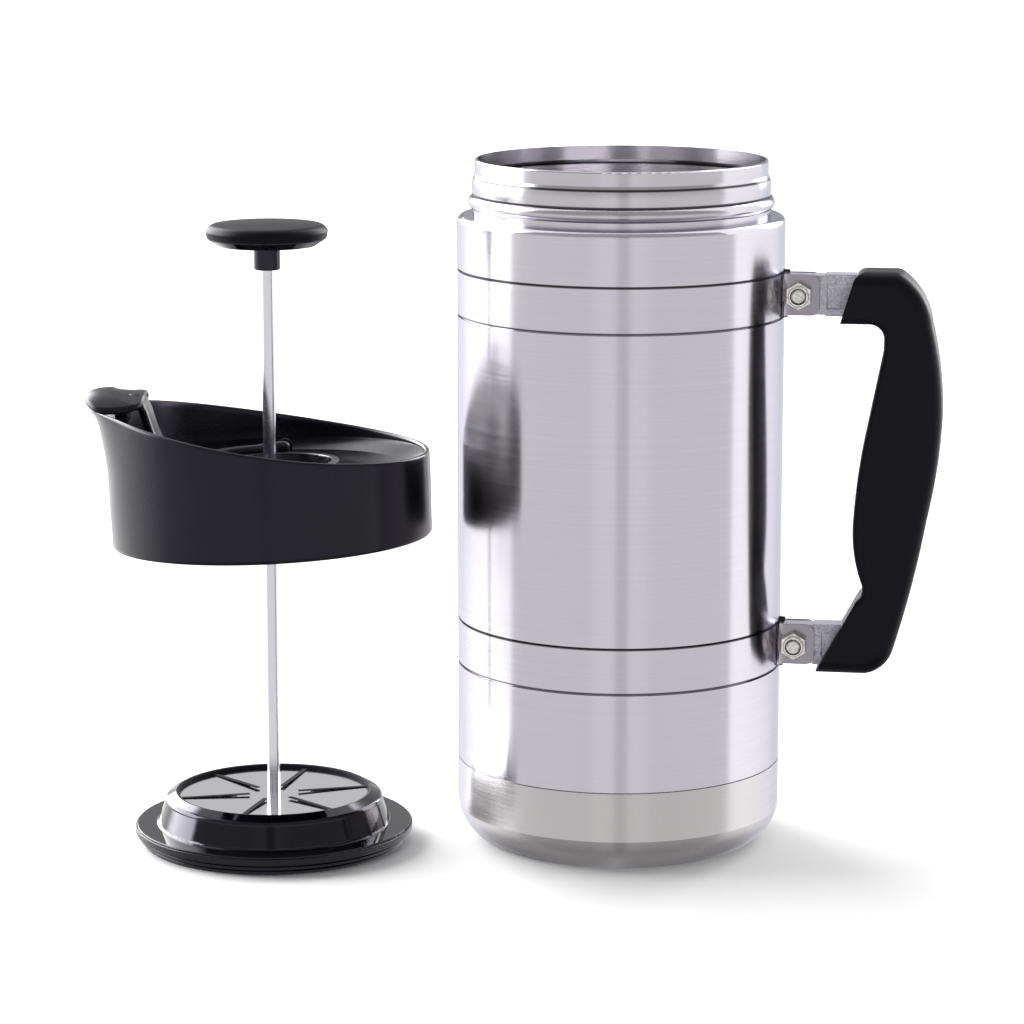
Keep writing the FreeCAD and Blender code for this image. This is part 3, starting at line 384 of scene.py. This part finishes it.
PAINT = {
    "inner_vessel": liner_steel, "outer_shell": shell_steel, "base_cup": base_steel,
    "lower_band": band_steel, "upper_band": band_steel, "handle_core": cast_alloy,
    "handle_grip": grip_rubber, "lower_bolt": bolt_steel, "upper_bolt": bolt_steel,
    "lower_locknut": nut_steel, "upper_locknut": nut_steel, "lower_nut_insert": nylon,
    "upper_nut_insert": nylon, "rod": rod_steel, "knob_cap": knob_black, "knob_base": gloss_black,
    "knob_insert": brass, "filter_frame": frame_black, "press_plate": plate_steel,
    "press_hub": hidden_steel, "mesh_screen": wire_mesh, "lower_retainer": gloss_black,
    "retainer_screw": bolt_steel, "wiper_seal": silicone, "lid_deck": deck_black,
    "lid_gasket": silicone, "front_hinge_pin": bolt_steel, "back_hinge_pin": bolt_steel,
    "rod_seal": silicone, "spout_plug": silicone,
}
for node, paint in PAINT.items():
    NODES[node].data.materials.clear()
    NODES[node].data.materials.append(paint)


# ---------------------------------------------------------------- the lid's frame and lofts
LID_HEIGHT = 107.1
LID_LEAN = math.radians(3.05)
LID_LEAN_TOWARDS = math.radians(-27.6)
LID_TURN = math.radians(8.8)
LID_GRIP = Vector((0, 0, 20.95))


def lid_frame():
    """Carries millimetres in the lid's own frame to metres in the object's."""
    hinge_line = Vector((math.sin(LID_LEAN_TOWARDS), -math.cos(LID_LEAN_TOWARDS), 0))
    hung = Vector((PRESS_X / MM, PRESS_Y / MM, LID_HEIGHT)) + LID_GRIP
    lean = Matrix.Rotation(LID_LEAN, 4, hinge_line)
    turn = Matrix.Rotation(LID_TURN, 4, "Z")
    return Matrix.Scale(MM, 4) @ Matrix.Translation(hung) @ lean @ turn @ Matrix.Translation(-LID_GRIP)


LID_FRAME = lid_frame()


def loft(name, rings, material, loop=False):
    """A skin over closed rings of points; the ends are capped unless the rings make a loop."""
    count = len(rings[0])
    points = [LID_FRAME @ Vector(point) for ring in rings for point in ring]
    spans = len(rings) if loop else len(rings) - 1
    faces = []
    for span in range(spans):
        here = span * count
        there = (span + 1) % len(rings) * count
        for step in range(count):
            after = (step + 1) % count
            faces.append((here + step, here + after, there + after, there + step))
    if not loop:
        faces.append(tuple(range(count))[::-1])
        faces.append(tuple(range((len(rings) - 1) * count, len(rings) * count)))
    mesh = bpy.data.meshes.new(name)
    mesh.from_pydata(points, [], faces)
    mesh.validate()
    mesh.materials.append(material)
    piece = bpy.data.objects.new(name, mesh)
    bpy.context.scene.collection.objects.link(piece)
    for polygon in mesh.polygons:
        polygon.use_smooth = True
    fix_facing(mesh)
    return piece


def fix_facing(mesh):
    """Turns every face outwards."""
    work = bmesh.new()
    work.from_mesh(mesh)
    bmesh.ops.recalc_face_normals(work, faces=work.faces)
    work.to_mesh(mesh)
    work.free()


def smooth_step(low, high, value):
    share = min(max((value - low) / (high - low), 0.0), 1.0)
    return share * share * (3 - 2 * share)


# ---------------------------------------------------------------- lid shell
SKIRT_RADIUS = 54.8
SKIRT_WALL = 1.7
SKIRT_STEPS = 240
SKIRT_LEVELS = 24
SPOUT_HALF_ANGLE = math.radians(36)
SPOUT_START = 26.0
SPOUT_TIP = 48.6
RIM_REACH = 55.0
RIM_CURVE = (36.15, -10.30, 2.27, 0.39)
RIM_STEPS = 8
SKIRT_SWELL = 0.35
SWELL_TOP = 24.0
INNER_SWELL_TOP = 30.0
LIP_FLARE = 3.0
LIP_FLARE_POWER = 1.2
LIP_CURL = 3.4
LIP_CURL_POWER = 10
# The skirt's foot: how far in from the wall's outer face, and how high, its rounded corner's points
# lie; the same for the inner face, measured outwards from it.
FOOT_TOP = 1.6
FOOT_CORNER = ((1.2, 0.0), (0.55, 0.2), (0.1, 0.7))
FOOT_INNER_CORNER = ((0.0, 0.4), (0.2, 0.0))


def rim_height(across):
    """The slanted, slightly hollow rim, from how far across the lid a point lies."""
    share = max(across / RIM_REACH, -1.0)
    return sum(part * share ** power for power, part in enumerate(RIM_CURVE))


def spout_share(turn):
    """How much of the pouring lip there is at an angle from the spout's middle."""
    away = abs(math.pi - turn % (2 * math.pi))
    if away >= SPOUT_HALF_ANGLE:
        return 0.0
    return 0.5 + 0.5 * math.cos(math.pi * away / SPOUT_HALF_ANGLE)


def skirt_radius(turn, height):
    """How far out the skirt is: a slight swell upwards, and the lip flaring and then curling out."""
    swell = SKIRT_SWELL * smooth_step(0.0, SWELL_TOP, height)
    rise = min(max((height - SPOUT_START) / (SPOUT_TIP - SPOUT_START), 0.0), 1.0)
    lip = LIP_FLARE * rise ** LIP_FLARE_POWER + LIP_CURL * rise ** LIP_CURL_POWER
    return SKIRT_RADIUS + swell + lip * spout_share(turn)


def skirt_section(turn):
    """One upright slice of the skirt's wall, out, over the round rim and back down inside."""
    top = rim_height(SKIRT_RADIUS * math.cos(turn))
    half = SKIRT_WALL / 2
    rise = top - half - FOOT_TOP
    heights = [FOOT_TOP + rise * (step / SKIRT_LEVELS) for step in range(SKIRT_LEVELS + 1)]
    places = [(SKIRT_RADIUS - inwards, height) for inwards, height in FOOT_CORNER]
    places += [(skirt_radius(turn, height), height) for height in heights]
    edge = skirt_radius(turn, top - half)
    crest = skirt_radius(turn, top)
    for step in range(1, RIM_STEPS):
        way = math.pi * step / RIM_STEPS
        out = edge - half + half * math.cos(way) + (crest - edge) * math.sin(way)
        places.append((out, top - half + half * math.sin(way)))
    inside = SKIRT_RADIUS - SKIRT_WALL
    for height in reversed(heights):
        grown = skirt_radius(turn, height) - SKIRT_WALL
        share = smooth_step(SWELL_TOP, INNER_SWELL_TOP, height)
        places.append((inside + (grown - inside) * share, height))
    places += [(inside + outwards, height) for outwards, height in FOOT_INNER_CORNER]
    return [(out * math.cos(turn), out * math.sin(turn), height) for out, height in places]


def make_lid_shell():
    sections = [skirt_section(2 * math.pi * step / SKIRT_STEPS) for step in range(SKIRT_STEPS)]
    shell = loft("lid_shell_skin", sections, lid_black, loop=True)
    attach(shell, "lid")
    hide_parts("lid_shell")


# ---------------------------------------------------------------- flip cap
def bulge(value, power):
    """A sine or cosine raised to a power with its sign kept: lower powers make squarer outlines."""
    return math.copysign(abs(value) ** power, value)


PAD_MIDDLE = -51.0
PAD_REACH = 10.5
PAD_HALF = 15.2
PAD_CREST = 54.6
PAD_DROOP = 6.0
PAD_NOSE_DROOP = 2.0
PAD_THICK = 2.3
# The powers of the pad's outline, across and along, at its nose, and how much less beside the stem.
PAD_NOSE_POWERS = (0.8, 0.85)
PAD_SQUARING = (0.4, 0.35)
# Shares of the outline at which the pad's rings lie: beneath it, round its edge, and over its top.
PAD_POLE = 0.004
PAD_UNDERSIDE = (PAD_POLE, 0.3, 0.6, 0.88)
PAD_EDGE = 0.93
PAD_EDGE_ROUNDING = 0.07
PAD_EDGE_STEPS = 7
PAD_EDGE_FULLNESS = 0.9
PAD_TOP = 0.95
PAD_TOP_STEP = 0.025
SCOOP_MIDDLE = -37.0
SCOOP_REACH = 16.0
SCOOP_HALF = 14.5
SCOOP_DEPTH = 1.6


def pad_ring(share, lift, steps=96):
    """One ring of the thumb pad, share of its full outline, lifted from the pad's top surface.

    The outline is round at the nose and squarer beside the stem.
    """
    ring = []
    for step in range(steps):
        way = 2 * math.pi * step / steps
        square = smooth_step(-1.0, 1.0, math.cos(way))
        powers = [nose - squaring * square for nose, squaring in zip(PAD_NOSE_POWERS, PAD_SQUARING)]
        across = PAD_MIDDLE + PAD_REACH * share * bulge(math.cos(way), powers[0])
        along = PAD_HALF * share * bulge(math.sin(way), powers[1])
        ring.append((across, along, pad_surface(across, along) + lift))
    return ring


def pad_crown(across, along):
    """The pad's plain top, drooping to both ends and over its outer edge."""
    outwards = max((PAD_MIDDLE - across) / PAD_REACH, 0.0)
    return PAD_CREST - PAD_DROOP * (along / PAD_HALF) ** 2 - PAD_NOSE_DROOP * outwards ** 4


def pad_surface(across, along):
    """The pad's top with a thumb scoop that runs out of its inner edge."""
    reach = math.hypot((across - SCOOP_MIDDLE) / SCOOP_REACH, along / SCOOP_HALF)
    scoop = SCOOP_DEPTH * math.sqrt(max(1 - reach ** 2, 0.0))
    return pad_crown(across, along) - scoop


def make_pad():
    half = PAD_THICK / 2
    rings = [pad_ring(share, -PAD_THICK) for share in PAD_UNDERSIDE]
    for step in range(1, PAD_EDGE_STEPS):
        way = math.pi * step / PAD_EDGE_STEPS - math.pi / 2
        share = PAD_EDGE + PAD_EDGE_ROUNDING * math.cos(way)
        rings.append(pad_ring(share, half * PAD_EDGE_FULLNESS * math.sin(way) - half))
    for step in range(round(PAD_TOP / PAD_TOP_STEP)):
        rings.append(pad_ring(PAD_TOP - PAD_TOP_STEP * step, 0.0))
    rings.append(pad_ring(PAD_POLE, 0.0))
    return loft("thumb_pad", rings, cap_black)


# Each level of the stem: its height, its outer and inner faces and half its breadth.
STEM_LEVELS = [(25.2, -38.9, -30.0, 9.0), (28.4, -39.6, -30.4, 9.0), (30.0, -40.0, -34.6, 9.0),
               (40.5, -42.2, -38.3, 9.0), (46.7, -43.5, -40.0, 9.0), (48.6, -46.2, -40.6, 9.0),
               (50.4, -47.2, -41.1, 9.0), (51.4, -47.4, -41.4, 8.8), (52.6, -47.4, -41.4, 6.5)]
STEM_BOW = 84.0
STEM_STEPS = 4
STEM_END_POWER = 0.6
STEM_FACE_POWER = 0.8


def stem_ring(height, left, right, half, steps=64):
    """One level slice of the stem: a plate bowed round the rod, with full round edges."""
    middle = (left + right) / 2
    thick = (right - left) / 2
    ring = []
    for step in range(steps):
        way = 2 * math.pi * step / steps
        along = half * bulge(math.sin(way), STEM_END_POWER)
        across = middle + thick * bulge(math.cos(way), STEM_FACE_POWER)
        ring.append((across + along ** 2 / STEM_BOW, along, height))
    return ring


def make_stem():
    rings = []
    for lower, upper in zip(STEM_LEVELS, STEM_LEVELS[1:]):
        for step in range(STEM_STEPS):
            level = [low + (high - low) * step / STEM_STEPS for low, high in zip(lower, upper)]
            rings.append(stem_ring(*level))
    rings.append(stem_ring(*STEM_LEVELS[-1]))
    return loft("cap_stem", rings, cap_black)


YOKE_RADIUS = 28.7
YOKE_MIDDLE = 26.9
YOKE_HALF_WIDTH = 1.9
YOKE_HALF_HEIGHT = 1.7
YOKE_SQUARENESS = 0.55
YOKE_CORNERS = 24
YOKE_STEPS = 96
YOKE_BOSS = 1.26
YOKE_BOSS_SPAN = 0.12
YOKE_END = 2.1
YOKE_DOME = [math.radians(angle) for angle in (25, 50, 70, 85)]
HINGE_X = 3.4
HINGE_HEIGHT = 27.3


def yoke_ring(turn, beyond, grow, lift):
    """One cross-section of the arm, grown towards its round ends and set beyond them by the dome."""
    ring = []
    for corner in range(YOKE_CORNERS):
        way = 2 * math.pi * corner / YOKE_CORNERS
        radius = YOKE_RADIUS + YOKE_HALF_WIDTH * min(grow, 1.0) * bulge(math.cos(way), YOKE_SQUARENESS)
        up = YOKE_HALF_HEIGHT * grow * bulge(math.sin(way), YOKE_SQUARENESS)
        ring.append((radius * math.cos(turn) + beyond, radius * math.sin(turn), lift + up))
    return ring


def make_yoke():
    """The arm round the knob's dish: a rounded bar swept along an arc, domed at both ends."""
    stop = math.acos(HINGE_X / YOKE_RADIUS)
    stations = []
    for step in range(YOKE_STEPS + 1):
        turn = stop + (2 * math.pi - 2 * stop) * step / YOKE_STEPS
        near_end = 1 - smooth_step(0.0, YOKE_BOSS_SPAN, min(step, YOKE_STEPS - step) / YOKE_STEPS)
        lift = YOKE_MIDDLE + (HINGE_HEIGHT - YOKE_MIDDLE) * near_end
        stations.append((turn, 0.0, 1 + (YOKE_BOSS - 1) * near_end, lift))
    dome = [(YOKE_END * math.sin(angle), YOKE_BOSS * math.cos(angle)) for angle in YOKE_DOME]
    first = [(stop, reach, size, HINGE_HEIGHT) for reach, size in reversed(dome)]
    last = [(2 * math.pi - stop, reach, size, HINGE_HEIGHT) for reach, size in dome]
    return loft("cap_yoke", [yoke_ring(*station) for station in first + stations + last], cap_black)


def make_flip_cap():
    pieces = [make_pad(), make_stem(), make_yoke()]
    for piece in pieces:
        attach(piece, "flip_cap")
        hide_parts("flip_cap")


make_lid_shell()
make_flip_cap()
